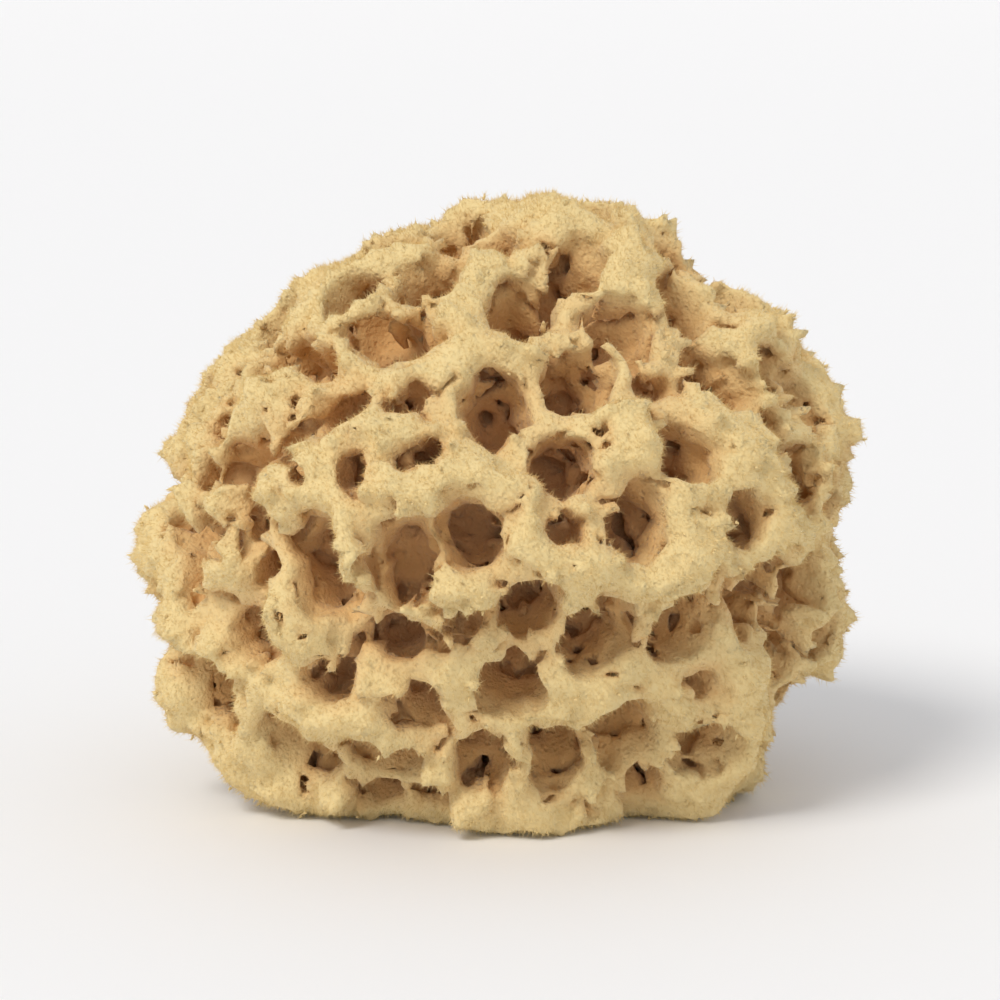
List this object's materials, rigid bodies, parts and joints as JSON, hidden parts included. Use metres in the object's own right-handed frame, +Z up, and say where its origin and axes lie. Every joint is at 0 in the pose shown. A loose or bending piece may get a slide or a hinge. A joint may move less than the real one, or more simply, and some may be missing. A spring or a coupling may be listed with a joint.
{
  "type": "honeycomb sea sponge",
  "caption": "Rounded natural bath sponge with deep irregular pores all over and soft tufted walls between them, trimmed flat underneath so that it stands.",
  "frame": {"origin": "middle of the sponge's outline, on the flat cut that it stands on", "axes": "+Z up through the crown, +X along the widest way across, +Y away from the side that is seen from the front"},
  "size_m": [0.11, 0.104, 0.092],
  "materials": {
    "sponge_fibre": "matt, soft and fibrous"
  },
  "bodies": {
    "root": {"sponge": "sponge_fibre"}
  },
  "joints": []
}
